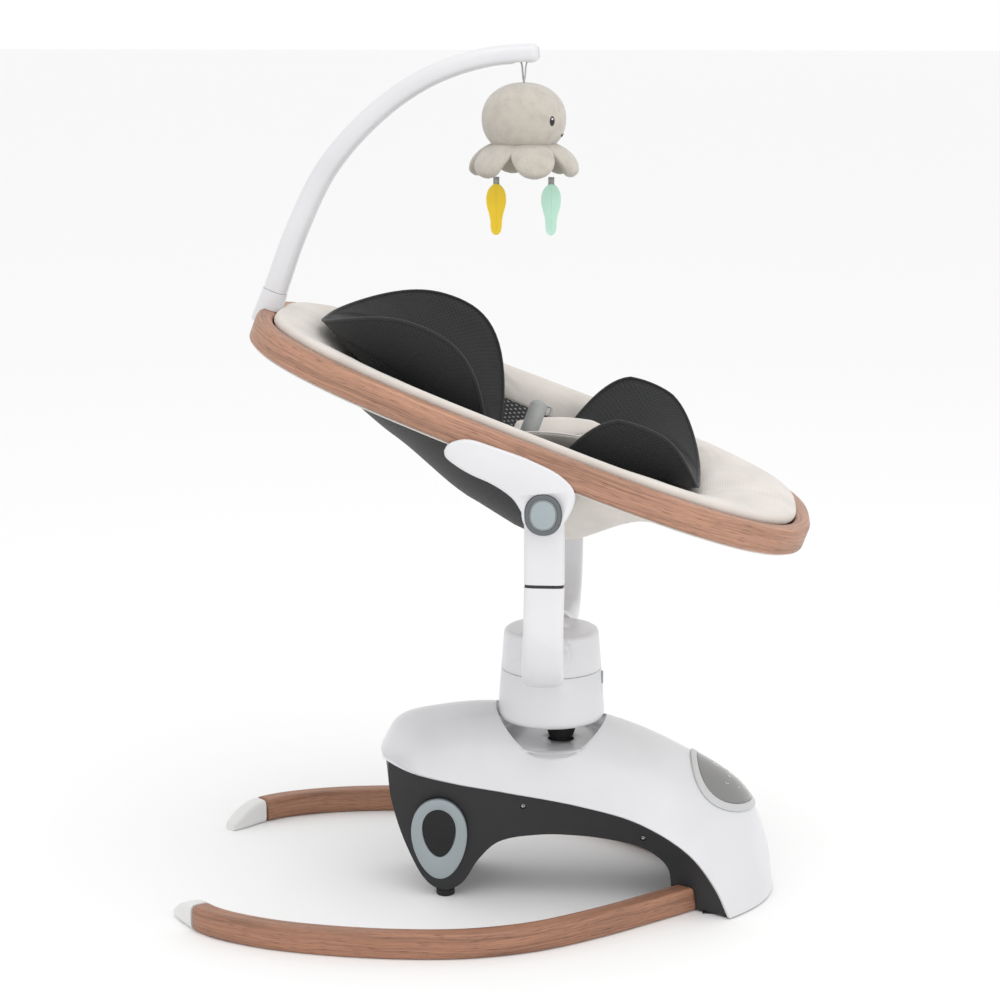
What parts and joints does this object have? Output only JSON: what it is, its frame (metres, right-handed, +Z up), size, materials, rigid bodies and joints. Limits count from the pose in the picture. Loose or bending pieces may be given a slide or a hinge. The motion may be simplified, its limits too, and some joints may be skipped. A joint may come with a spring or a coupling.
{
  "type": "baby swing",
  "caption": "Powered baby swing: a forked column sways on a shell base with curved wooden floor legs and carries a reclining wooden-rimmed seat with a toy bar.",
  "frame": {"origin": "bottom centre of the bounding box, on the floor", "axes": "+Z up, -Y towards the feet and the control panel, +Y towards the head, +X towards the seated child's left"},
  "size_m": [0.5524, 0.7382, 1.0099],
  "materials": {
    "white_shell": "white gloss moulded plastic",
    "black_shell": "black satin moulded plastic",
    "grey_trim": "light blue-grey satin plastic",
    "dark_trim": "dark grey satin plastic",
    "touch_glass": "smoked clear plastic over touch marks",
    "rubber": "black moulded rubber",
    "steel": "plain zinc-plated steel",
    "copper_wire": "enamelled copper winding",
    "circuit": "green solder mask",
    "wood": "oiled red-brown wood with a straight grain",
    "cream_fabric": "off-white woven fabric",
    "black_mesh": "black padded spacer mesh",
    "grey_webbing": "grey woven webbing",
    "plush": "beige-grey short plush",
    "yellow_silicone": "yellow silicone",
    "mint_silicone": "mint silicone"
  },
  "bodies": {
    "base": {"base_cover": "white_shell", "base_shell": "black_shell", "speaker_ring": "grey_trim", "speaker_grille": "rubber", "speaker_driver": "steel", "panel_bezel": "grey_trim", "touch_panel": "touch_glass", "control_board": "circuit", "dc_inlet": "rubber", "chassis_plate": "steel", "bearing_front": "rubber", "bearing_rear": "rubber", "drive_coil": "copper_wire", "centring_spring": "steel", "rear_foot_right": "rubber", "rear_foot_left": "rubber", "front_pad_right": "rubber", "front_pad_left": "rubber", "floor_leg_right": "wood", "floor_leg_left": "wood", "leg_tip_right": "white_shell", "leg_tip_left": "white_shell", "leg_bolt_right": "steel", "leg_bolt_left": "steel"},
    "rocker": {"swing_axle": "steel", "swing_stem": "rubber", "drive_magnet": "steel", "lower_cup": "white_shell", "turntable_ring": "dark_trim"},
    "lock_button": {"seat_lock_button": "grey_trim"},
    "fork": {"upper_cup": "white_shell", "lower_arm_right": "white_shell", "lower_arm_left": "white_shell", "arm_band_right": "black_shell", "arm_band_left": "black_shell", "upper_arm_right": "white_shell", "upper_arm_left": "white_shell", "hinge_pin_right": "steel", "hinge_pin_left": "steel"},
    "seat": {"seat_rim": "wood", "seat_sling": "cream_fabric", "seat_liner": "cream_fabric", "back_insert": "black_mesh", "leg_insert": "black_mesh", "crotch_strap": "grey_webbing", "waist_belt_right": "cream_fabric", "waist_belt_left": "cream_fabric", "bar_socket": "white_shell", "seat_bracket_right": "white_shell", "seat_bracket_left": "white_shell", "knob_ring_right": "dark_trim", "knob_ring_left": "dark_trim"},
    "recline_button_right": {"recline_button_right": "grey_trim"},
    "recline_button_left": {"recline_button_left": "grey_trim"},
    "bar": {"toy_bar": "white_shell"},
    "toy": {"toy_strap": "grey_webbing", "toy_head": "plush", "toy_petals": "plush"},
    "yellow_leaf": {"teether_yellow": "yellow_silicone"},
    "mint_leaf": {"teether_mint": "mint_silicone"}
  },
  "joints": [
    {"name": "sway", "type": "hinge", "parent": "base", "child": "rocker", "pos_m": [0, -0.07682, 0.156], "axis": [0, 1, 0], "range_deg": [-6, 6], "stiffness_Nm_per_rad": 90},
    {"name": "lock_button_press", "type": "slide", "parent": "rocker", "child": "lock_button", "axis": [0, 1, 0], "range_m": [0, 0.003], "stiffness_N_per_m": 400},
    {"name": "seat_turn", "type": "hinge", "parent": "rocker", "child": "fork", "pos_m": [0, -0.06482, 0.268], "axis": [0, 0, 1], "range_deg": [-90, 90]},
    {"name": "recline", "type": "hinge", "parent": "fork", "child": "seat", "pos_m": [0, -0.06982, 0.502], "axis": [1, 0, 0], "range_deg": [-14, 8]},
    {"name": "recline_button_right_press", "type": "slide", "parent": "seat", "child": "recline_button_right", "axis": [1, 0, 0], "range_m": [0, 0.004], "stiffness_N_per_m": 400},
    {"name": "recline_button_left_press", "type": "slide", "parent": "seat", "child": "recline_button_left", "axis": [-1, 0, 0], "range_m": [0, 0.004], "stiffness_N_per_m": 400},
    {"name": "bar_swivel", "type": "hinge", "parent": "seat", "child": "bar", "pos_m": [0, 0.26337, 0.72159], "axis": [0, -0.3502, 0.9367], "range_deg": [-90, 90]},
    {"name": "toy_swing", "type": "hinge", "parent": "bar", "child": "toy", "pos_m": [0, -0.0305, 0.99486], "axis": [1, 0, 0], "range_deg": [-20, 20]},
    {"name": "yellow_leaf_swing", "type": "hinge", "parent": "toy", "child": "yellow_leaf", "pos_m": [0, 0.0015, 0.85556], "axis": [1, 0, 0], "range_deg": [-18, 18]},
    {"name": "mint_leaf_swing", "type": "hinge", "parent": "toy", "child": "mint_leaf", "pos_m": [0, -0.0625, 0.85556], "axis": [1, 0, 0], "range_deg": [-18, 18]}
  ]
}
